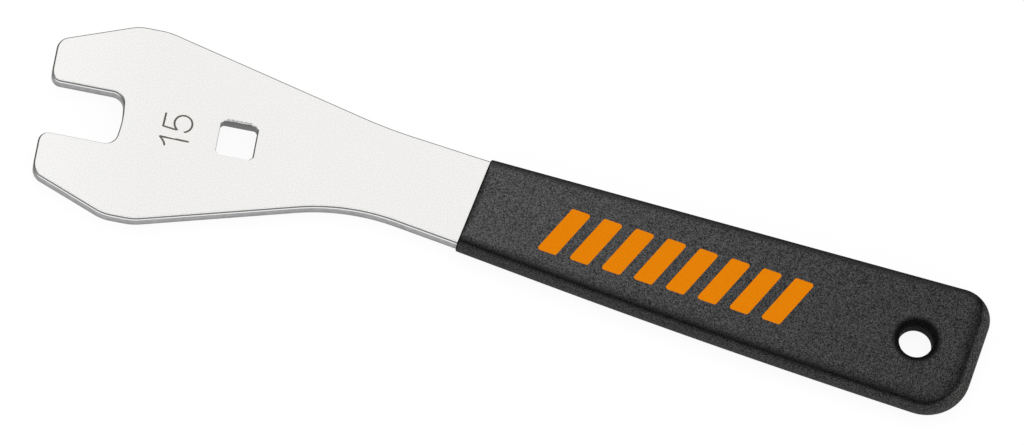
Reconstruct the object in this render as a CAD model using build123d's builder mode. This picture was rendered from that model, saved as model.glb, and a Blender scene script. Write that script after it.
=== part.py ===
"""Pedal wrench: a flat steel blade with a 15 mm open jaw, a square drive hole and a dipped grip.

The origin is the centre of an axle seated in the jaw, in the middle of the plate's thickness.
+X runs along the jaw from its mouth towards the handle, and +Z is square to the plate.
The handle leaves the jaw's axis at a small angle and has its own plane, with x along the handle.
"""
import os
from math import cos, radians, sin, tan

from build123d import *

# Plate
plate_thickness = 5.0
edge_break = 0.4

# Jaw
axle_flats = 15.0
jaw_clearance = 0.1
mouth_reach = 12.9  # from the seated axle's centre to the line of the two tips
tip_inner_radius = 2.75
tip_outer_radius = 3.8
root_corner_radius = 3.4
root_floor_radius = 25.0
root_floor_slant = 6.0

# Head, the broad part round the jaw
head_width = 53.8
shoulder_angle = 21.6
shoulder_end_x = 7.3
shoulder_radius = 11.4
flank_start_x = 15.3
flank_radius = 15.4

# Neck, where the head's flanks run out into the handle
neck_width = 24.6  # where the grip begins
neck_flare = 1.1
upper_neck_run = 27.8  # from the grip back to the bend in the upper edge
lower_neck_run = 30.8
upper_neck_radius = 128.0
lower_neck_radius = 58.0
tang_radius = 100.0

# Square drive hole
drive_square = 9.53
drive_clearance = 0.2
drive_corner_cut = 0.9
drive_x = 37.85
drive_y = 0.35

# Handle, in its own plane
handle_angle = 8.56
bend_x = 76.2  # where the handle's axis crosses the jaw's axis
grip_start = 25.7
front_slant = 2.2  # of the grip's front edge, which the dip leaves a little askew
grip_length = 137.55
upper_flare = 3.92
lower_swell = 1.62
lower_return = 0.71
swell_margin = 8.4  # straight edge between the swell and the lower end corner
end_upper_radius = 8.4
end_lower_radius = 12.0

# Grip coat
coat = 1.1
side_flat = 1.2  # between the two rounded edges of the grip's side
front_round = 0.5
hang_hole_radius = 4.4
hang_hole_from_end = 16.9
hang_lip_round = 1.8

# Sizes that follow
jaw_width = axle_flats + jaw_clearance
root_floor_x = axle_flats / 2
drive_side = drive_square + drive_clearance
grip_half_width = neck_width / 2 + coat
front_lead = grip_half_width * tan(radians(front_slant))
upper_start, lower_start = grip_start + front_lead, grip_start - front_lead
grip_end = grip_start + grip_length
grip_thickness = plate_thickness + 2 * coat
side_round = (grip_thickness - side_flat) / 2
swell_along = grip_start + grip_length / 2
swell_run = grip_length / 2 - end_lower_radius - swell_margin
swell_radius = swell_run / tan(radians(lower_swell + lower_return) / 2)
handle = Plane(
    origin=(bend_x, 0, 0),
    x_dir=(cos(radians(handle_angle)), -sin(radians(handle_angle)), 0),
    z_dir=(0, 0, 1),
)
handle_axis = Axis(handle.origin, handle.x_dir)


def meet(start_a, angle_a, start_b, angle_b):
    """The place where two lines cross, each given by a point and its angle in degrees."""
    ax, ay = cos(radians(angle_a)), sin(radians(angle_a))
    bx, by = cos(radians(angle_b)), sin(radians(angle_b))
    dx, dy = start_b[0] - start_a[0], start_b[1] - start_a[1]
    run = (dx * by - dy * bx) / (ax * by - ay * bx)
    return (start_a[0] + run * ax, start_a[1] + run * ay)


def on_handle(along, across):
    """A place given along and across the handle, in the part's own frame."""
    point = handle.from_local_coords(Vector(along, across, 0))
    return (point.X, point.Y)


def upper_edge(along, inset=0.0):
    """How far the grip's upper edge, moved in by the inset, lies from the handle's axis."""
    flare = radians(upper_flare)
    return grip_half_width + (along - grip_start) * tan(flare) - inset / cos(flare)


def lower_edge(along, inset=0.0):
    """The same for the lower edge, which swells to the middle of the grip and then returns."""
    swell, back = radians(lower_swell), radians(lower_return)
    drop = (min(along, swell_along) - grip_start) * tan(swell)
    rise = max(along - swell_along, 0) * tan(back)
    return rise - grip_half_width - drop + inset / cos(swell)


def handle_corners(inset):
    """Corners of the grip's outline moved in by the inset, from its front clockwise."""
    end = grip_end - inset
    return [
        on_handle(upper_start, upper_edge(upper_start, inset)),
        on_handle(end, upper_edge(end, inset)),
        on_handle(end, lower_edge(end, inset)),
        on_handle(swell_along, lower_edge(swell_along, inset)),
        on_handle(lower_start, lower_edge(lower_start, inset)),
    ]


def handle_radii(inset):
    """Radii of the handle's two end corners and of its lower edge."""
    return [end_upper_radius - inset, end_lower_radius - inset, swell_radius]


def head_side(side, neck_run):
    """Corners of one half of the head, from its tip at the mouth to the bend at the neck."""
    shoulder = (shoulder_end_x, side * head_width / 2)
    neck_across = neck_width / 2 - neck_run * tan(radians(neck_flare))
    return [
        (-mouth_reach, side * jaw_width / 2),
        meet((-mouth_reach, 0), 90, shoulder, side * shoulder_angle),
        shoulder,
        (flank_start_x, side * head_width / 2),
        on_handle(grip_start - neck_run, side * neck_across),
    ]


tang = handle_corners(coat)
upper_head = head_side(1, upper_neck_run)
lower_head = head_side(-1, lower_neck_run)
head_radii = [tip_inner_radius, tip_outer_radius, shoulder_radius, flank_radius]

# The jaw's root is a shallow floor, deepest on the axis, between two rounded corners
floor_slant = radians(root_floor_slant)
root_point_x = root_floor_x + root_floor_radius * (1 / cos(floor_slant) - 1)
root_corner_x = root_point_x - jaw_width / 2 * tan(floor_slant)
jaw_root = [(root_corner_x, -jaw_width / 2), (root_point_x, 0), (root_corner_x, jaw_width / 2)]
root_radii = [root_corner_radius, root_floor_radius, root_corner_radius]

hang_along = grip_end - hang_hole_from_end
hang_across = (upper_edge(hang_along) + lower_edge(hang_along)) / 2
hang_place = on_handle(hang_along, hang_across)

os.makedirs("parts", exist_ok=True)

# Steel blade, one stamped plate from the jaw to the end of the tang
with BuildPart() as blade:
    with BuildSketch():
        with BuildLine():
            FilletPolyline(
                *upper_head,
                *tang,
                *lower_head[::-1],
                *jaw_root,
                radius=[
                    *head_radii,
                    upper_neck_radius,
                    tang_radius,
                    *handle_radii(coat),
                    tang_radius,
                    lower_neck_radius,
                    *head_radii[::-1],
                    *root_radii,
                ],
                close=True,
            )
        make_face()
        with Locations(hang_place):
            Circle(hang_hole_radius + coat, mode=Mode.SUBTRACT)
    extrude(amount=plate_thickness / 2, both=True)
    with BuildSketch() as drive_hole:
        with Locations((drive_x, drive_y)):
            Rectangle(drive_side, drive_side)
        chamfer(drive_hole.vertices(), length=drive_corner_cut)
    extrude(amount=plate_thickness / 2, both=True, mode=Mode.SUBTRACT)
    chamfer(blade.faces().filter_by(Plane.XY).edges(), length=edge_break)
blade.part.label = "wrench_blade"
export_step(blade.part, "parts/wrench_blade.step")

# Grip, a soft coat that fits the tang all over and lines the hang hole
with BuildPart() as grip:
    with BuildSketch():
        with BuildLine():
            FilletPolyline(
                *handle_corners(0),
                radius=[0, *handle_radii(0), 0],
                close=True,
            )
        make_face()
    extrude(amount=grip_thickness / 2, both=True)
    front = grip.faces().sort_by(handle_axis)[0]
    long_edges = grip.faces().filter_by(Plane.XY).edges() - front.edges()
    fillet(long_edges, side_round)
    front = grip.faces().sort_by(handle_axis)[0]
    fillet(front.edges(), front_round)
    with Locations(hang_place):
        Hole(hang_hole_radius)
    fillet(grip.edges(Select.LAST).filter_by(GeomType.CIRCLE), hang_lip_round)
    add(blade.part, mode=Mode.SUBTRACT)
grip.part.label = "grip_sleeve"
export_step(grip.part, "parts/grip_sleeve.step")
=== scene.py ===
from math import cos, pi, radians, sin, tan

import bmesh
import bpy
import numpy as np
from mathutils import Matrix
from mathutils.geometry import delaunay_2d_cdt


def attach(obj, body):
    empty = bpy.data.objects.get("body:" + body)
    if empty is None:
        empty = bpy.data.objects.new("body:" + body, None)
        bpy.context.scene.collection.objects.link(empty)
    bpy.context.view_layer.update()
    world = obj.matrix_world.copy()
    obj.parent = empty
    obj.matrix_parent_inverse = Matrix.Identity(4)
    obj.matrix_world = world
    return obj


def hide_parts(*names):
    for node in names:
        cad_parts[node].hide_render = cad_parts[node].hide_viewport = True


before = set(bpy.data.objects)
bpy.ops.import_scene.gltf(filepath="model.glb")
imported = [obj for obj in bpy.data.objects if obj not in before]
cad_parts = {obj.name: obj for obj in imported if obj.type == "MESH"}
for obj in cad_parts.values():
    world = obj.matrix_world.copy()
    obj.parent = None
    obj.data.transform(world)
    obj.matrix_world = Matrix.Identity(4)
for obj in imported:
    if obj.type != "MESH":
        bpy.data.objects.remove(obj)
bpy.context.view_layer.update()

# Every size below is in millimetres, in the part's own frame; MM takes it to metres
MM = 0.001

# Plate
plate_half = 2.5
edge_round = (0.2, 0.3)  # inset and drop of the quarter ellipse on each edge
far_widening = 0.9  # more of that inset on the far edges and the ends, as a share of it
mouth_widening = 1.7  # and on the tips at the jaw's mouth
seam_ring = 0.35  # narrow flat ring beside each rounded edge
arc_step = 5  # most degrees from one point of a rounded corner to the next
sharp_fold = 32  # degrees between two faces from which their edge is shaded sharp

# Painted dark lines of shade and a painted glint on the plate's wall, with painted shade at its foot, as
# drops below the face between which each rises or fades
line_start = (0.002, 0.02)  # of the far and the end lines, just off the flat face
far_line_fade = (0.3, 0.45)
near_line_rise = (0.18, 0.45)
near_line_fade = (1.1, 1.3)  # the glint rises as the near line fades
near_line_share = 0.72
glint_fade = (1.75, 1.95)
end_line_fade = (2.6, 3.2)
foot_rise = (4.3, 4.9)
foot_share = 0.5
cut_rise = (0.1, 0.3)  # of the sheared wall's grey, partly its own and partly a painted reflection of the shadowed table
jaw_line_share = 0.4  # of the far line, inside the jaw
wall_lines = [far_line_fade[1], 0.6, *near_line_fade, *glint_fade, *end_line_fade]

# How squarely a wall has to face a way, from where it starts to count to where it does so wholly, as
# the part of its unit normal along that way. The normals that the outlines give point into the metal
end_facing = (0.45, 0.95)
near_facing = (-0.3, 0.3)
jaw_side_facing = (0.8, 0.99)
drive_facing = (0.7, 0.98)
drive_right_facing = (0.3, 0.98)
grip_end_facing = (0.3, 0.9)
grip_lower_facing = (-0.2, 0.5)

# Jaw
jaw_half = 7.55
mouth_reach = 12.9
mouth_depth = 2.0  # from the tips, where the wider rounding of the mouth ends
jaw_slack = (1.0, 0.5)  # how far past its root and its sides a wall still counts as the jaw's
root_floor_x = 7.5
root_floor_radius = 25.0
root_floor_slant = 6.0
root_corner_radius = 3.4
tip_radii = [2.75, 3.8]

# Head and neck
head_half = 26.9
shoulder_angle = 21.6
shoulder_end_x = 7.3
flank_start_x = 15.3
shoulder_radii = [11.4, 15.4]
neck_half = 12.3
neck_flare = 1.1
neck_run = {1: 27.8, -1: 30.8}
neck_radius = {1: 128.0, -1: 58.0}
tang_radius = 100.0

# Square drive hole
drive_place = [37.85, 0.35]
drive_half = 4.865
drive_corner_cut = 0.9
drive_corner_round = 0.35
drive_roll = (0.7, 0.9)  # the punch tears the upper rim on the far side
drive_roll_least = 0.15
drive_roll_right = 0.4
drive_roll_left = 0.15
drive_tear_run = 1.8  # in from the square's corners, where the tear is whole
drive_tear_waves = [(0.22, 5.3, 0), (0.18, 11.9, 1)]  # share, radians in a millimetre, start
drive_shade_left = 0.2
# Shares of the roll's drop between which the shade rises at the right and left, at the far side, and
# all round
drive_side_rise = (0, 0.02)
drive_far_rise = (0, 0.7)
drive_wall_rise = (0.9, 1)
drive_foot = (0.15, 0.15)
drive_flare = 0.5

# Handle
handle_angle = 8.56
bend_x = 76.2
grip_start = 25.7
front_slant = 2.2
grip_length = 137.55
grip_end = grip_start + grip_length
swell_along = grip_start + grip_length / 2
upper_flare = 3.92
lower_swell = 1.62
lower_return = 0.71
end_radii = [8.4, 12.0]
swell_radius = 2380.0

# Grip coat
coat = 1.1
print_height = 0.02
grip_half = plate_half + coat - print_height
side_round = 3.0
side_steps = 12  # in each quarter circle of the side
front_columns = 39  # across the face's front, between its corners
front_round = 0.5
front_steps = 6  # in the quarter circle there
front_rows = 4  # and from it to the plate
front_blend = 30  # along each side, where its normals turn to follow the front's line
hang_radius = 4.4
hang_lip = (2.5, 2.2)
lip_steps = 8
hang_from_end = 16.9
face_margin = 1.6  # from the side's rounding to the face's second line, where the face's painted light is whole
face_margin_end = 0.9  # more of it at the end, as a share of it
face_margin_start = -0.5  # before the front's corners, where it would be none
face_margin_runs = (18, 4)  # from those corners to its full width, along the sides and the front
face_rows = 15  # from the face's second line to the hole's lip

# Painted light on the grip: its flat faces are painted pale with light that fades into painted shade on
# their roundings, and its lower side and end are painted with a grey light. The angles are degrees off
# flat, of which a negative one starts the fade on the face, inside its margin
lip_light_fade = (30, 2)  # in the hole's lip, from painted shade to the face's whole painted light
# Where the face's painted light starts to fade, where it has ended, where the painted side light starts
# and where it is whole
side_angles = [
    (0, 46, 80, 90),  # upper side
    (-15, 29, 29, 52),  # lower side
    (-9, 3, 4, 18),  # end
]
front_painted_light = 0.35  # share of the face's painted light left along the front edge
lower_side_light = 0.7  # how much painted side light the lower side has, against the end

# Slanted bars printed on the grip
bar_count = 8
bar_width = 5.3
bar_height = 14.0
bar_lean = 21
bar_round = 0.7
bar_pitch = 8.7
bars_start = 50.5
bars_across = -0.3
bars_rise = 1.9

# Number beside the jaw
number_half_width = 0.28
number_slope = 0.14  # width of the strokes' sloping sides
number_depth = 0.2
number_patch = [17.4, 27.0, -5.8, 5.2]
number_pitch = 0.055


# Outlines

def meet(start_a, angle_a, start_b, angle_b):
    """Crossing of two lines: the first start plus its run along the first way, from Cramer's rule."""
    ax, ay = cos(radians(angle_a)), sin(radians(angle_a))
    bx, by = cos(radians(angle_b)), sin(radians(angle_b))
    dx, dy = start_b[0] - start_a[0], start_b[1] - start_a[1]
    run = (dx * by - dy * bx) / (ax * by - ay * bx)
    return [start_a[0] + run * ax, start_a[1] + run * ay]


def on_handle(along, across):
    """Place in the part's frame: the bend, plus along and across the handle turned by its angle."""
    turn = radians(handle_angle)
    return [
        bend_x + along * cos(turn) + across * sin(turn),
        across * cos(turn) - along * sin(turn),
    ]


def handle_way(along, across):
    """Direction in the plan, given along and across the handle."""
    return np.array(on_handle(along, across)) - on_handle(0, 0)


def upper_edge(along, inset=0.0):
    """Straight upper edge of the handle: half the neck and coat plus the flare times the way along."""
    flare = radians(upper_flare)
    return neck_half + coat + (along - grip_start) * tan(flare) - inset / cos(flare)


def lower_edge(along, inset=0.0):
    """Lower edge: falls at the swell's slope to the middle of the grip, then rises at the return's."""
    drop = (min(along, swell_along) - grip_start) * tan(radians(lower_swell))
    rise = max(along - swell_along, 0) * tan(radians(lower_return))
    return rise - neck_half - coat - drop + inset / cos(radians(lower_swell))


front_line = handle_way(sin(radians(front_slant)), cos(radians(front_slant)))
into_grip = handle_way(cos(radians(front_slant)), -sin(radians(front_slant)))
hang_along = grip_end - hang_from_end
hang_place = on_handle(hang_along, (upper_edge(hang_along) + lower_edge(hang_along)) / 2)


def handle_corners(inset, back=0.0):
    """Corners of the grip's outline moved in by the inset, from its front clockwise; the front, which
    is slanted, may lie a little further back."""
    lead = (neck_half + coat) * tan(radians(front_slant))
    upper_start, lower_start = grip_start + back + lead, grip_start + back - lead
    end = grip_end - inset
    return [
        on_handle(upper_start, upper_edge(upper_start, inset)),
        on_handle(end, upper_edge(end, inset)),
        on_handle(end, lower_edge(end, inset)),
        on_handle(swell_along, lower_edge(swell_along, inset)),
        on_handle(lower_start, lower_edge(lower_start, inset)),
    ]


def head_side(side):
    """Corners of one half of the head: tip, shoulder, flank and the bend at the neck."""
    shoulder = (shoulder_end_x, side * head_half)
    run = neck_run[side]
    return [
        [-mouth_reach, side * jaw_half],
        meet((-mouth_reach, 0), 90, shoulder, side * shoulder_angle),
        list(shoulder),
        [flank_start_x, side * head_half],
        on_handle(grip_start - run, side * (neck_half - run * tan(radians(neck_flare)))),
    ]


def rounded(corners, radii, spacing, closed=True, straights=True):
    """Line through the corners with each one rounded.

    An arc is its centre minus the radius times the side's normal, turned evenly through the
    corner; a straight stretch is its start plus even shares of its length, or is left whole. Gives
    the points and the unit normals on the right of the way, where the metal is.
    """
    corners, radii = np.array(corners, float), np.array(radii, float)
    ahead = np.roll(corners, -1, 0) - corners
    length = np.hypot(*ahead.T)
    way = ahead / length[:, None]
    came = np.roll(way, 1, 0)
    turn = np.arctan2(came[:, 0] * way[:, 1] - came[:, 1] * way[:, 0], (came * way).sum(1))
    if not closed:
        turn[[0, -1]] = 0
        came[0] = way[0]
    reach = radii * np.tan(np.abs(turn) / 2)
    points, normals = [], []
    for i in range(len(corners)):
        normal = np.array([came[i, 1], -came[i, 0]])
        side = -np.sign(turn[i]) or 1.0
        steps = max(abs(turn[i]) / radians(arc_step), radii[i] * abs(turn[i]) / spacing)
        angle = np.linspace(0, turn[i], int(np.ceil(steps)) + 1)[:, None]
        turned = np.hstack([
            normal[0] * np.cos(angle) - normal[1] * np.sin(angle),
            normal[0] * np.sin(angle) + normal[1] * np.cos(angle),
        ])
        centre = corners[i] - came[i] * reach[i] + side * radii[i] * normal
        points.append(centre - side * radii[i] * turned)
        normals.append(turned)
        if not straights or (not closed and i == len(corners) - 1):
            continue
        straight = length[i] - reach[i] - reach[(i + 1) % len(corners)]
        shares = np.linspace(0, 1, int(np.ceil(straight / spacing)) + 1)[1:-1, None]
        points.append(corners[i] + way[i] * (reach[i] + shares * straight))
        normals.append(np.repeat([[way[i, 1], -way[i, 0]]], len(shares), 0))
    return np.vstack(points), np.vstack(normals)


def blade_outline():
    """Outline of the whole plate, clockwise: upper head, tang, lower head and the jaw's root."""
    floor = radians(root_floor_slant)
    root_x = root_floor_x + root_floor_radius * (1 / cos(floor) - 1)
    corner_x = root_x - jaw_half * tan(floor)
    corners = head_side(1) + handle_corners(coat) + head_side(-1)[::-1]
    corners += [[corner_x, -jaw_half], [root_x, 0], [corner_x, jaw_half]]
    head_radii = tip_radii + shoulder_radii
    radii = head_radii + [neck_radius[1], tang_radius]
    radii += [end_radii[0] - coat, end_radii[1] - coat, swell_radius, tang_radius, neck_radius[-1]]
    radii += head_radii[::-1] + [root_corner_radius, root_floor_radius, root_corner_radius]
    return rounded(corners, radii, spacing=1.2, straights=False)


def drive_outline():
    """Outline of the square hole, with its corners cut and slightly rounded."""
    far, near = drive_half, drive_half - drive_corner_cut
    square = [[near, -far], [far, -near], [far, near], [near, far]]
    square += [[-near, far], [-far, near], [-far, -near], [-near, -far]]
    return rounded(np.array(square) + drive_place, [drive_corner_round] * 8, spacing=0.25)


def hang_outline():
    """Circle of the plate's hole round the hang hole, at even angles."""
    angle = np.linspace(0, 2 * pi, 73)[:-1]
    spoke = np.stack([np.cos(angle), np.sin(angle)], 1)
    return np.array(hang_place) + (hang_radius + coat) * spoke, spoke


def coat_outline(inset, back):
    """Outline of one skin of the coat, open at the front. Along the start of each side its normals
    turn evenly to follow the front's line, so that the section there is flat."""
    radii = [0, end_radii[0] - inset, end_radii[1] - inset, swell_radius, 0]
    points, normals = rounded(handle_corners(inset, back), radii, spacing=1.5, closed=False)
    for at, sign in ((0, -1), (-1, 1)):
        square = sign * front_line / (sign * front_line @ normals[at])
        along = np.abs((points - points[at]) @ handle_way(1, 0))
        blend = np.clip(1 - along / front_blend, 0, 1)[:, None]
        straight = (normals @ normals[at] > 0.99999)[:, None]
        normals = np.where(straight, normals + blend * (square - normals), normals)
    return points, normals


# Surfaces

def ramp(value, start, end):
    """Share from 0 at the start to 1 at the end, straight between and held outside."""
    return np.clip((value - start) / (end - start), 0, 1)


def edge_profile(half, ring, over, under=None, flare=0.0, steps=8, drops=()):
    """Section of an edge, as inset and height: a flat ring, a quarter ellipse (inset a(1 - sin t),
    height h - d(1 - cos t)), lines down the wall, and another quarter ellipse below, moved in by the
    flare."""
    angle = np.linspace(0, pi / 2, steps + 1)
    halves = []
    for inset, drop in (over, under or over):
        arc = np.stack([inset * (1 - np.sin(angle)), half - drop * (1 - np.cos(angle))], 1)
        halves.append(np.vstack([[inset + ring, half], arc]))
    wall = np.array([[0, half - drop] for drop in drops]).reshape(-1, 2)
    return np.vstack([halves[0], wall, halves[1][::-1] * [1, -1] + [flare, 0]])


def carry(points, normals, inset, height):
    """Profile carried along a line: each point moved in by the inset along its normal, at the height.
    Both may be one for each line of the profile, or one for each line and point."""
    inset = inset.reshape(len(height), -1, 1)
    plan = points[None] + inset * normals[None]
    heights = np.broadcast_to(height.reshape(len(height), -1), plan.shape[:2])
    return np.dstack([plan, heights])


def grid_faces(rows, columns, wrap=True):
    """Quads of a grid of vertices, outward where the rows go down and the metal is on the right."""
    index = np.arange(rows * columns).reshape(rows, columns)
    right = np.roll(index, -1, 1) if wrap else index[:, 1:]
    left = index if wrap else index[:, :-1]
    return np.stack([left[:-1], right[:-1], right[1:], left[1:]], -1).reshape(-1, 4)


def inside(places, loops):
    """Even-odd rule: how many edges of the loops a ray along +x from each place crosses."""
    crossings = np.zeros(len(places), int)
    x, y = places[:, :1], places[:, 1:]
    for loop in loops:
        a, b = loop, np.roll(loop, -1, 0)
        spans = (a[:, 1] > y) != (b[:, 1] > y)
        rise = np.where(b[:, 1] == a[:, 1], 1.0, b[:, 1] - a[:, 1])
        at = a[:, 0] + (y - a[:, 1]) * (b[:, 0] - a[:, 0]) / rise
        crossings += (spans & (at > x)).sum(1)
    return crossings % 2 == 1


def flat_cap(loops, height, up):
    """Flat face between loops: the triangles of their plan whose middle is inside, all turned one way."""
    plan = np.vstack(loops)
    edges, start = [], 0
    for loop in loops:
        index = start + np.arange(len(loop))
        edges += np.stack([index, np.roll(index, -1)], 1).tolist()
        start += len(loop)
    verts, _, faces, _, _, _ = delaunay_2d_cdt(plan.tolist(), edges, [], 0, 1e-6)
    verts, faces = np.array(verts), np.array(faces)
    faces = faces[inside(verts[faces].mean(1), loops)]
    a, b, c = (verts[faces[:, k]] for k in range(3))
    area = (b[:, 0] - a[:, 0]) * (c[:, 1] - a[:, 1]) - (b[:, 1] - a[:, 1]) * (c[:, 0] - a[:, 0])
    turned = (area > 0) != up
    faces[turned] = faces[turned][:, ::-1]
    return np.hstack([verts, np.full((len(verts), 1), height)]), faces


class Sheetwork:
    """Gathers the surfaces of one piece, then closes their seams in one mesh.

    A surface may come with marks, which are shares for each of its vertices. The mesh keeps them by
    name for its finish, and they are none where a surface has no such mark.
    """

    def __init__(self):
        self.vertices, self.faces, self.marks, self.count = [], [], [], 0

    def add(self, vertices, faces, **marks):
        vertices = np.asarray(vertices, float).reshape(-1, 3)
        self.vertices.append(vertices)
        self.faces.extend((np.asarray(faces) + self.count).tolist())
        self.marks.append((self.count, marks))
        self.count += len(vertices)

    def make(self, name, material):
        mesh = bpy.data.meshes.new(name)
        mesh.from_pydata((np.vstack(self.vertices) * MM).tolist(), [], self.faces)
        for mark_name in sorted({mark_name for _, marks in self.marks for mark_name in marks}):
            values = np.zeros(self.count, np.float32)
            for start, marks in self.marks:
                share = np.ravel(marks.get(mark_name, []))
                values[start:start + len(share)] = share
            mesh.attributes.new(mark_name, "FLOAT", "POINT").data.foreach_set("value", values)
        welded = bmesh.new()
        welded.from_mesh(mesh)
        bmesh.ops.remove_doubles(welded, verts=welded.verts, dist=1e-6)
        bmesh.ops.dissolve_degenerate(welded, edges=welded.edges, dist=1e-8)
        welded.to_mesh(mesh)
        welded.free()
        mesh.shade_smooth()
        mesh.set_sharp_from_angle(angle=radians(sharp_fold))
        mesh.materials.append(material)
        piece = bpy.data.objects.new(name, mesh)
        bpy.context.scene.collection.objects.link(piece)
        return piece


# Blade

def plate_edge(work, points, normals):
    """Edge of the plate round one outline: the edge's profile carried along it, with more inset on the
    far edges, the ends and the mouth's tips. A band's mark, a painted dark line of shade, a painted glint
    or painted shade at the wall's foot, is a product of ramps over the drop below the face, shared out by
    the way the wall faces. Gives the upper and the lower line."""
    profile = edge_profile(plate_half, seam_ring, edge_round, drops=wall_lines)
    drop = (plate_half - profile[:, 1])[:, None]
    off_face = ramp(drop, *line_start)
    far_line = off_face * ramp(drop, *far_line_fade[::-1])
    near_line = near_line_share * ramp(drop, *near_line_rise) * ramp(drop, *near_line_fade[::-1])
    end_line = off_face * ramp(drop, *end_line_fade[::-1])
    glint = ramp(drop, *near_line_fade) * ramp(drop, *glint_fade[::-1])
    foot = foot_share * ramp(drop, *foot_rise)
    wall = ramp(drop, *cut_rise)

    end = ramp(normals[:, 0], *end_facing)
    near = ramp(normals[:, 1], *near_facing)
    in_jaw = points[:, 0] < root_floor_x + jaw_slack[0]
    in_jaw &= np.abs(points[:, 1]) < jaw_half + jaw_slack[1]
    far = (1 - near) * (1 - (1 - jaw_line_share) * in_jaw * ramp(-normals[:, 1], *jaw_side_facing))
    at_mouth = points[:, 0] < mouth_depth - mouth_reach
    end_widening = np.where(at_mouth, mouth_widening, far_widening) * end
    widening = 1 + np.maximum(far_widening * far, end_widening)
    inset = np.minimum(profile[:, :1], edge_round[0]) * widening
    inset[[0, -1]] += seam_ring
    rim = carry(points, normals, inset, profile[:, 1])
    # The dark lines and the foot are painted shade, and the glint below the near line is a painted
    # highlight
    sides = far_line * far + near_line * near + foot
    work.add(
        rim, grid_faces(*rim.shape[:2]),
        edge_line=sides * (1 - end) + end_line * end,
        burnish=glint * (1 - end),
        cut_wall=np.repeat(wall, len(points), 1),
    )
    return rim[0, :, :2], rim[-1, :, :2]


def drive_edge(work, points, normals):
    """Edge of the square hole: at each point a share of the way from a sharp rim to a rolled one, by
    how torn the rim is there. The far side is torn most, more or less along sine waves over x. The
    wall flares downwards. Gives the upper and the lower line."""
    x = points[:, 0]
    right = ramp(normals[:, 0], *drive_right_facing)
    left = ramp(-normals[:, 0], *drive_facing)
    far = ramp(normals[:, 1], *drive_facing)
    far *= ramp(np.abs(x - drive_place[0]), drive_half - drive_corner_cut, drive_half - drive_tear_run)
    torn = drive_roll_least + (1 - drive_roll_least) * far
    torn = torn + drive_roll_right * right + drive_roll_left * left
    torn *= 1 + far * sum(share * np.sin(rate * x + start) for share, rate, start in drive_tear_waves)
    sharp = edge_profile(plate_half, seam_ring, (0, 0), drive_foot, drive_flare)
    rolled = edge_profile(plate_half, seam_ring, drive_roll, drive_foot, drive_flare)
    inset, height = (sharp[:, [k]] + torn * (rolled - sharp)[:, [k]] for k in (0, 1))
    rim = carry(points, normals, inset, height)
    deep = ramp(plate_half - rolled[:, 1:], 0.0, drive_roll[1])
    # Painted shade on the hole's sides, its torn far rim and the foot of its wall, partly standing for
    # the torn metal's duller grey; the same mark makes the wall rougher
    shade = ramp(deep, *drive_side_rise) * (right + drive_shade_left * left)
    shade = shade + ramp(deep, *drive_far_rise) * far
    shaded_and_rough = np.maximum(shade, ramp(deep, *drive_wall_rise))
    work.add(rim, grid_faces(*rim.shape[:2]), punched_wall=shaded_and_rough, cut_wall=shaded_and_rough)
    return rim[0, :, :2], rim[-1, :, :2]


def stroke_depth(x, y, strokes):
    """Share of the full depth at each place: one less than half the stroke's width from its middle
    line, none outside it, with a smooth step 3s^2 - 2s^3 between."""
    nearest = np.full(x.shape, np.inf)
    for line in strokes:
        for a, b in zip(line[:-1], line[1:]):
            run = b - a
            share = np.clip(((x - a[0]) * run[0] + (y - a[1]) * run[1]) / (run @ run), 0, 1)
            nearest = np.minimum(nearest, np.hypot(x - a[0] - share * run[0], y - a[1] - share * run[1]))
    step = np.clip((number_half_width - nearest) / number_slope, 0, 1)
    return step * step * (3 - 2 * step)


def number_strokes():
    """Middle lines of the figures 1 and 5, which stand on +x with their tops towards the jaw."""
    turn = np.radians(np.linspace(235, -72, 40))
    bowl_centre, bowl_radius = [23.4, 2.0], 2.34
    bowl = bowl_centre + bowl_radius * np.stack([np.cos(turn), np.sin(turn)], 1)
    one = np.array([[19.55, -4.8], [19.3, -4.1], [18.75, -3.4], [18.0, -2.65], [25.5, -2.72]])
    five = np.vstack([[[18.45, 4.05], [18.3, 0.4], [21.65, 0.0]], bowl])
    return [one, five]


def number_field(work):
    """Grid on the plate whose height is the face less the depth of the figures' strokes. Gives its
    border."""
    x0, x1, y0, y1 = number_patch
    xs = np.linspace(x0, x1, int((x1 - x0) / number_pitch) + 1)
    ys = np.linspace(y1, y0, int((y1 - y0) / number_pitch) + 1)
    x, y = np.meshgrid(xs, ys)
    depth = stroke_depth(x, y, number_strokes())
    field = np.stack([x, y, plate_half - number_depth * depth], -1)
    work.add(field, grid_faces(*x.shape, wrap=False)[:, ::-1], engraving=depth)
    border = np.vstack([field[0, :-1], field[:-1, -1], field[-1, :0:-1], field[:0:-1, 0]])
    return border[:, :2]


def blade_piece(material):
    """Blade: the plate's edge round the outline and the hang hole, the square hole's own edge, the
    number's grid and the flat faces between them."""
    work = Sheetwork()
    lines = [
        plate_edge(work, *blade_outline()),
        plate_edge(work, *hang_outline()),
        drive_edge(work, *drive_outline()),
    ]
    border = number_field(work)
    tops, bottoms = zip(*lines)
    work.add(*flat_cap([*tops, border], plate_half, True))
    work.add(*flat_cap(bottoms, -plate_half, False))
    return work.make("steel_blade", material)


# Grip

def side_marks(normals, end):
    """How much painted face light and painted side light each line and point of the coat's side has:
    ramps over the degrees that the line has turned off flat, between the angles of the side, shared by
    the way it faces."""
    turned = np.linspace(0, 90, side_steps + 1)
    turned = np.concatenate([turned, turned[::-1]])[:, None]
    lower = ramp(normals[:, 1], *grip_lower_facing)
    upper = (1 - lower) * (1 - end)
    lower = lower * (1 - end)
    face_light_start, face_light_stop, side_light_start, side_light_stop = (
        upper * above + lower * below + end * behind for above, below, behind in zip(*side_angles)
    )
    rubbed = ramp(turned, face_light_stop, face_light_start)
    return rubbed, ramp(turned, side_light_start, side_light_stop) * (lower_side_light * lower + end)


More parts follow.
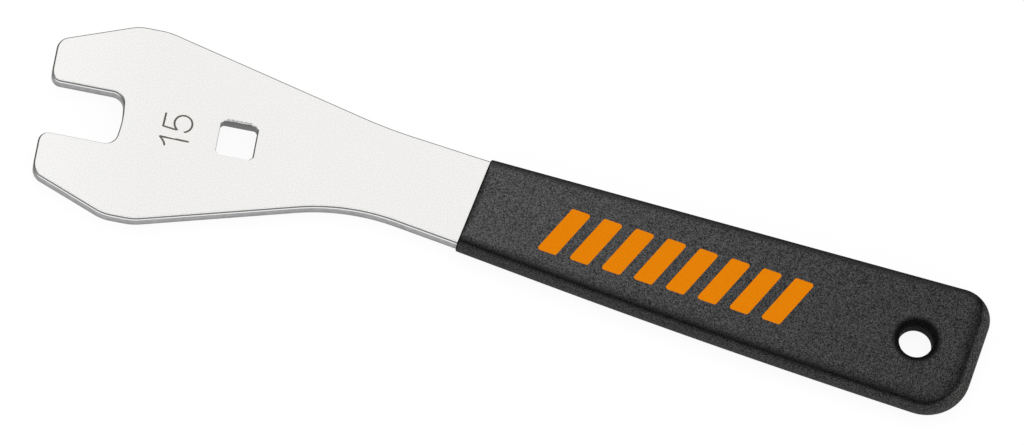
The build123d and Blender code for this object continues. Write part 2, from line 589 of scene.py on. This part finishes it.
def coat_skin(work, inset, half, radius, hole, lip, inward):
    """One skin of the coat, outer or inner.

    Sides: a quarter circle, wall and quarter circle carried round the outline from the front's
    upper corner to its lower one. Faces: the sides' inner line, then the same line moved in by the
    margin, and from there even shares of the way to the hole's lip in each point's own direction.
    Hole: the lip's quarter ellipse and a straight wall. Gives the side, the line across the face's
    front and the side's two marks, for the section that stands open at the front.
    """
    flip = slice(None, None, -1) if inward else slice(None)
    points, normals = coat_outline(inset, 0 if inward else front_round)
    end = ramp(-normals @ handle_way(1, 0), *grip_end_facing)
    rubbed, handled = side_marks(normals, end)
    profile = edge_profile(half, 0, (radius, radius), steps=side_steps)[1:-1]
    side = carry(points, normals, *profile.T)
    work.add(side, grid_faces(*side.shape[:2], wrap=False)[:, flip], rubbed=rubbed, handled=handled)

    top_line = side[0, :, :2]
    share = np.linspace(0, 1, front_columns + 2)[1:-1, None]
    front = top_line[-1] + (top_line[0] - top_line[-1]) * share
    ring = np.vstack([top_line, front])
    spoke = ring - hang_place
    spoke /= np.hypot(*spoke.T)[:, None]
    angle = np.linspace(0, pi / 2, lip_steps + 1)
    lip_out = hole + lip[0] * (1 - np.sin(angle))
    lip_high = half - lip[1] * (1 - np.cos(angle))
    lip_plan = np.array(hang_place) + lip_out[:, None, None] * spoke

    on_side = np.arange(len(ring)) < len(points)
    from_corner = np.minimum(*(np.linalg.norm(ring - corner, axis=1) for corner in front[[0, -1]]))
    whole = np.where(on_side, *face_margin_runs)
    margin = face_margin * ramp(from_corner, face_margin_start, whole)
    margin[on_side] *= 1 + face_margin_end * end
    inner_line = ring + margin[:, None] * np.vstack([normals, [into_grip] * len(front)])
    share = np.linspace(0, 1, face_rows)[:, None, None]
    face = np.concatenate([ring[None], inner_line + share * (lip_plan[0] - inner_line)])

    plan = np.concatenate([face, lip_plan[1:]])
    high = np.concatenate([np.full(len(face), half), lip_high[1:]])
    upper = np.dstack([plan, np.repeat(high[:, None], len(ring), 1)])
    lower = upper * [1, 1, -1]
    face_painted_light = np.concatenate([np.ones(len(face)), ramp(np.degrees(angle[1:]), *lip_light_fade)])
    face_painted_light = np.repeat(face_painted_light[:, None], len(ring), 1)
    face_painted_light[0] = np.append(rubbed[0], np.full(len(front), front_painted_light))
    faces = grid_faces(*face_painted_light.shape)
    work.add(upper, faces[:, ::-1][:, flip], rubbed=face_painted_light)
    work.add(lower, faces[:, flip], rubbed=face_painted_light)
    work.add([upper[-1], lower[-1]], grid_faces(2, len(ring))[:, ::-1][:, flip])
    return side, front, rubbed, handled


def section_loop(side, front, half):
    """Closed section at the front: up one side's profile, along the top, down the other, back below."""
    top = np.hstack([front, np.full((len(front), 1), half)])
    bottom = top[::-1] * [1, 1, -1]
    return np.vstack([side[::-1, -1], top, side[:, 0], bottom])


def section_marks(marks, flat, value):
    """Marks of the same section's points: the side's own on its profiles, one value on the flats."""
    level = np.full(flat, value)
    return np.concatenate([marks[::-1, -1], level, marks[:, 0], level])


def grip_piece(material):
    """Grip: outer and inner skins of the coat, and its front, where the outer section is rounded over
    by a quarter circle and then drawn straight to the inner section."""
    work = Sheetwork()
    side, front, rubbed, handled = coat_skin(
        work, 0.0, grip_half, side_round, hang_radius, hang_lip, inward=False)
    inner_side, inner_front, _, _ = coat_skin(
        work, coat, plate_half, edge_round[0], hang_radius + coat, edge_round, inward=True)
    outer_loop = section_loop(side, front, grip_half)
    inner_loop = section_loop(inner_side, inner_front, plate_half)
    along = np.append(into_grip, 0)
    way = np.roll(outer_loop, -1, 0) - np.roll(outer_loop, 1, 0)
    inward = np.cross(way, along)
    inward /= np.linalg.norm(inward, axis=1)[:, None]
    if (inward * (outer_loop.mean(0) - outer_loop)).sum() < 0:
        inward = -inward
    angle = np.linspace(0, pi / 2, front_steps + 1)[:, None, None]
    turned = outer_loop - front_round * np.sin(angle) * along + front_round * (1 - np.cos(angle)) * inward
    share = np.linspace(0, 1, front_rows + 1)[1:, None, None]
    drawn = turned[-1] + share * (inner_loop - turned[-1])
    nose = np.concatenate([turned, drawn])
    fading = ramp(np.arange(len(nose)), 2, 0)[:, None]
    work.add(
        nose, grid_faces(*nose.shape[:2]),
        rubbed=fading * section_marks(rubbed, len(front), front_painted_light),
        handled=fading * section_marks(handled, len(front), 0.0),
    )
    return work.make("dipped_grip", material)


def printed_bars(material):
    """Print on the grip: equal slanted bars, each a thin closed slab over a rounded parallelogram."""
    work = Sheetwork()
    lean = bar_height / 2 * tan(radians(bar_lean))
    half_wide, half_high = bar_width / 2, bar_height / 2
    shape = [[-half_wide - lean, -half_high], [-half_wide + lean, half_high],
             [half_wide + lean, half_high], [half_wide - lean, -half_high]]
    outline, _ = rounded(shape, [bar_round] * 4, spacing=0.8, straights=False)
    low, high = grip_half - print_height, grip_half + print_height
    for along in bars_start + bar_pitch * np.arange(bar_count):
        across = bars_across + (along - bars_start) * tan(radians(bars_rise))
        plan = np.stack(on_handle(along + outline[:, 0], across + outline[:, 1]), 1)
        sides = [np.column_stack([plan, np.full(len(plan), z)]) for z in (high, low)]
        work.add(sides, grid_faces(2, len(plan)))
        work.add(*flat_cap([plan], high, True))
        work.add(*flat_cap([plan], low, False))
    return work.make("printed_bars", material)


# Finishes

class Tree:
    """Nodes of a material or a world, with short ways to add and join them."""

    def __init__(self, owner):
        owner.use_nodes = True
        self.nodes, self.links = owner.node_tree.nodes, owner.node_tree.links

    def add(self, kind, *sources, values=(), joined=()):
        """First output of a new node. The sources are joined to its first inputs in their order,
        other outputs by the input's name; values are set by the input or the property."""
        made = self.nodes.new("ShaderNode" + kind)
        for key, value in dict(values).items():
            if isinstance(key, int) or key in made.inputs:
                made.inputs[key].default_value = value
            else:
                setattr(made, key, value)
        for key, source in [*enumerate(sources), *dict(joined).items()]:
            self.links.new(source, made.inputs[key])
        return made.outputs[0]

    def math(self, operation, first, second):
        return self.add("Math", first, second, values={"operation": operation})

    def white_rays(self):
        """One for the rays that show the background, straight, in metal and through glass, and one for
        the straight ones alone."""
        path = self.nodes.new("ShaderNodeLightPath").outputs
        straight = path["Is Camera Ray"]
        shown = self.math("MAXIMUM", straight, path["Is Glossy Ray"])
        return self.math("MAXIMUM", shown, path["Is Transmission Ray"]), straight


class Finish(Tree):
    """Nodes of a new finish, with its shader and its place on the piece."""

    def __init__(self, name):
        self.material = bpy.data.materials.new(name)
        super().__init__(self.material)
        self.shader = self.nodes["Principled BSDF"]
        self.place = self.nodes.new("ShaderNodeTexCoord").outputs["Object"]

    def mark(self, name):
        """Share that the mesh keeps under this name."""
        made = self.nodes.new("ShaderNodeAttribute")
        made.attribute_name = name
        return made.outputs["Fac"]

    def noise(self, scale, detail, roughness=0.5):
        return self.add("TexNoise", self.place, values={
            "Scale": scale, "Detail": detail, "Roughness": roughness})

    def two_tone(self, noise, start, end, dark, light):
        """Dark tone up to the start of the noise's range, light from its end, and mixed between."""
        made = self.nodes.new("ShaderNodeValToRGB")
        self.links.new(noise, made.inputs["Fac"])
        first, last = made.color_ramp.elements
        first.position, last.position = start, end
        first.color, last.color = (*dark, 1), (*light, 1)
        return made.outputs[0]

    def spread(self, value, old, new):
        """Value taken from its old range to a new one and held outside."""
        return self.add("MapRange", value, values={
            "From Min": old[0], "From Max": old[1], "To Min": new[0], "To Max": new[1]})

    def along(self, reach, ends):
        """Value that goes with the place along x, between its ends over a reach in metres."""
        return self.spread(self.add("SeparateXYZ", self.place), reach, ends)

    def times(self, tone, by):
        return self.add("VectorMath", tone, by, values={"operation": "MULTIPLY"})

    def cover(self, below, colour, share):
        """Tone with a share of a plain colour over it."""
        return self.add("MixRGB", share, below, values={"Color2": (*colour, 1)})

    def finished(self, tone, bump):
        """Material with its tone and its bump joined to the shader."""
        self.links.new(tone, self.shader.inputs["Base Color"])
        self.links.new(bump, self.shader.inputs["Normal"])
        return self.material


def steel_finish():
    """Satin plated steel: faint speckle on the faces, which are slightly brighter towards the jaw's
    mouth, a painted dark line of shade and a painted glint along the edges, grey sheared walls whose grey
    is partly painted shade, painted shade in the punched hole, partly standing for its torn metal's
    duller grey, and painted shade on the floors of the figures."""
    finish = Finish("satin_steel")
    speckle, mottle = finish.noise(3600, 1), finish.noise(700, 4, 0.6)
    cut_wall = finish.mark("cut_wall")
    face = finish.two_tone(speckle, 0.38, 0.62, (0.74, 0.735, 0.72), (0.86, 0.853, 0.84))
    face = finish.times(face, finish.along((-0.013, 0.016), (1.045, 1.0)))
    # The walls' grey is partly the sheared metal's own duller tone and partly a painted reflection of the
    # shadowed table
    wall = finish.two_tone(mottle, 0.35, 0.65, (0.31, 0.31, 0.315), (0.4, 0.4, 0.41))
    metal = finish.add("MixRGB", cut_wall, face, wall)
    # This mark is a painted glint along the edges, below the dark line
    metal = finish.cover(metal, (0.92, 0.915, 0.91), finish.mark("burnish"))
    # This mark is painted shade in the square hole, partly standing for its torn metal's duller grey
    metal = finish.cover(metal, (0.15, 0.15, 0.15), finish.mark("punched_wall"))
    # This mark is painted shade: dark lines along the edges and at the foot of the walls
    metal = finish.cover(metal, (0.075, 0.074, 0.072), finish.mark("edge_line"))
    # The figures' floors are darkened with painted shade
    metal = finish.cover(metal, (0.13, 0.115, 0.1), finish.mark("engraving"))
    finish.shader.inputs["Metallic"].default_value = 1

    cloud = finish.spread(finish.noise(45, 3), (0.3, 0.7), (0.28, 0.31))
    rougher = finish.add("Math", cut_wall, values={"operation": "MULTIPLY", 1: 0.2})
    finish.links.new(finish.math("ADD", cloud, rougher), finish.shader.inputs["Roughness"])

    grain = finish.add("Bump", values={"Strength": 0.3, "Distance": 0.00002}, joined={"Height": speckle})
    shear = finish.add("Bump", values={"Distance": 0.00008}, joined={
        "Height": mottle, "Normal": grain, "Strength": cut_wall})
    return finish.finished(metal, shear)


def coat_grain(finish, strength):
    """Fine pebble grain shared by the coat and the print on it, and its bump."""
    grain = finish.noise(3500, 1)
    bump = finish.add(
        "Bump", values={"Strength": strength, "Distance": 0.0005}, joined={"Height": grain})
    return grain, bump


def grip_finish():
    """Black dipped coat: fine matt grain, dark and dull on the roundings and in the hang hole's lip,
    where shade is painted, paler and glossier on the flat faces, where light is painted, which is more so
    and with a calmer grain towards the front, and grey on the lower side and the end, where a painted
    light lies."""
    finish = Finish("black_coat")
    grain, bump = coat_grain(finish, 0.9)
    tone = finish.two_tone(grain, 0.36, 0.66, (0.05, 0.05, 0.05), (1, 1, 1))
    tone = finish.cover(tone, (0.49, 0.49, 0.49), finish.along((0.1, 0.235), (0.25, 0.0)))
    rubbed = finish.mark("rubbed")
    paler = finish.along((0.1, 0.22), (0.205, 0.112))
    # This mark is painted light: it lifts the tone from the dark of the painted shade on the roundings
    # and in the hole's lip to the pale level of the lit flat faces
    face_light_level = finish.add("MapRange", rubbed, values={"To Min": 0.012}, joined={"To Max": paler})
    # This mark is painted light: it lays a grey lit tone over the lower side and the end
    side_light_tone = finish.add("VectorMath", tone, values={
        "operation": "MULTIPLY", 1: (0.15, 0.15, 0.148)})
    coat_tone = finish.add("MixRGB", finish.mark("handled"), finish.times(tone, face_light_level), side_light_tone)
    finish.shader.inputs["Roughness"].default_value = 0.6
    gloss = finish.spread(rubbed, (0, 1), (0.03, 0.13))
    finish.links.new(gloss, finish.shader.inputs["Specular IOR Level"])
    return finish.finished(coat_tone, bump)


def ink_finish():
    """Orange print, thin enough to show a little of the coat's grain."""
    finish = Finish("orange_ink")
    grain, bump = coat_grain(finish, 0.25)
    tone = finish.two_tone(grain, 0.3, 0.6, (1.0, 0.26, 0.001), (1.0, 0.295, 0.001))
    finish.shader.inputs["Roughness"].default_value = 0.6
    finish.shader.inputs["Specular IOR Level"].default_value = 0.03
    return finish.finished(tone, bump)


blade = blade_piece(steel_finish())
grip = grip_piece(grip_finish())
bars = printed_bars(ink_finish())
for piece in (blade, grip, bars):
    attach(piece, "root")
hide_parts("wrench_blade")
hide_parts("grip_sleeve")


def stand(thing, right, up, back, place):
    """Puts a camera or lamp at a place in metres, with its own axes along the three ways."""
    pose = np.eye(4)
    pose[:3, 0], pose[:3, 1], pose[:3, 2], pose[:3, 3] = right, up, back, place
    thing.matrix_world = Matrix(pose.tolist())
    bpy.context.scene.collection.objects.link(thing)


# Camera: far away with a long lens, 23 degrees off square to the plate, rolled 14 degrees
tilt, turn, roll = radians(23), radians(-3.179313), radians(14)
level = np.array([cos(turn), sin(turn), 0])
below = np.array([sin(turn) * cos(tilt), -cos(turn) * cos(tilt), -sin(tilt)])
right = cos(roll) * level - sin(roll) * below
down = sin(roll) * level + cos(roll) * below
ahead = np.array([-sin(turn) * sin(tilt), cos(turn) * sin(tilt), -cos(tilt)])
aim = [0.071569, -0.000182, plate_half]  # place on the plate
aim_right, aim_down, aim_ahead = -108.861345, -28.385165, 3126.618965  # the same, from the camera
camera_place = -(aim_right * right + aim_down * down + aim_ahead * ahead) + aim
picture_width = 1024
focal_length = 12000  # in pixels

camera_data = bpy.data.cameras.new("camera")
camera_data.sensor_width = 36
camera_data.lens = focal_length * camera_data.sensor_width / picture_width
camera_data.clip_end = 100
camera = bpy.data.objects.new("camera", camera_data)
stand(camera, right, -down, -ahead, camera_place * MM)
bpy.context.scene.camera = camera


# Floor, white to the camera but for the part's soft shadow
def floor_finish():
    """White table; where it is seen its own light lifts it to plain white and leaves a faint shadow."""
    material = bpy.data.materials.new("white_table")
    tree = Tree(material)
    tree.nodes.clear()
    table = tree.add("BsdfDiffuse", values={"Color": (0.8, 0.8, 0.8, 1)})
    faint = tree.add("BsdfDiffuse", values={"Color": (0.12, 0.12, 0.12, 1)})
    glow = tree.add("Emission", values={"Strength": 0.92})
    shown, _ = tree.white_rays()
    pick = tree.add("MixShader", shown, table, tree.add("AddShader", faint, glow))
    tree.links.new(pick, tree.nodes.new("ShaderNodeOutputMaterial").inputs[0])
    return material


floor_reach = 6.0
floor_height = -(plate_half + coat) * MM
floor_mesh = bpy.data.meshes.new("floor")
floor_mesh.from_pydata(
    [(x * floor_reach, y * floor_reach, floor_height) for x, y in ((-1, -1), (1, -1), (1, 1), (-1, 1))],
    [], [(0, 1, 2, 3)],
)
floor_mesh.materials.append(floor_finish())
floor = bpy.data.objects.new("floor", floor_mesh)
bpy.context.scene.collection.objects.link(floor)


# Light: one broad soft box above and behind, a low card towards the camera, a dim room
middle = np.array([0.11, 0.0, 0.0])
far_side = np.array([-sin(turn), cos(turn), 0])
lamp_distance = 3


def soft_box(name, lean, size, brightness):
    """Rectangular lamp that looks at the part's middle, leaning from straight up towards the far side.
    Its power is its brightness times pi times its area."""
    data = bpy.data.lights.new(name, "AREA")
    data.shape = "RECTANGLE"
    data.size, data.size_y = size
    data.energy = brightness * pi * size[0] * size[1]
    lamp = bpy.data.objects.new(name, data)
    lamp.visible_camera = False
    back = sin(radians(lean)) * far_side + [0, 0, cos(radians(lean))]
    side = np.cross([0, 0, 1], back)
    side /= np.linalg.norm(side)
    stand(lamp, side, np.cross(back, side), back, middle + lamp_distance * back)


def room_light():
    """Dim white room. Its backdrop is white all over to the camera, but in metal it ends a little above
    the table."""
    world = bpy.data.worlds.new("room")
    bpy.context.scene.world = world
    tree = Tree(world)
    room = tree.nodes["Background"]
    room.inputs["Color"].default_value = (1, 1, 1, 1)
    room.inputs["Strength"].default_value = 0.3
    backdrop = tree.add("Background", values={"Strength": 1})
    way = tree.nodes.new("ShaderNodeSeparateXYZ")
    tree.links.new(tree.nodes.new("ShaderNodeTexCoord").outputs["Generated"], way.inputs[0])
    low = tree.add("MapRange", way.outputs["Z"], values={"From Min": 0.6, "From Max": 0.35})
    shown, straight = tree.white_rays()
    shown = tree.math("MAXIMUM", tree.math("MULTIPLY", shown, low), straight)
    pick = tree.add("MixShader", shown, room.outputs[0], backdrop)
    tree.links.new(pick, tree.nodes["World Output"].inputs[0])


soft_box("key_box", lean=28, size=(8.0, 4.0), brightness=0.82)
soft_box("front_card", lean=-68, size=(8.0, 2.0), brightness=1.2)
room_light()

bpy.context.scene.view_settings.view_transform = "Standard"
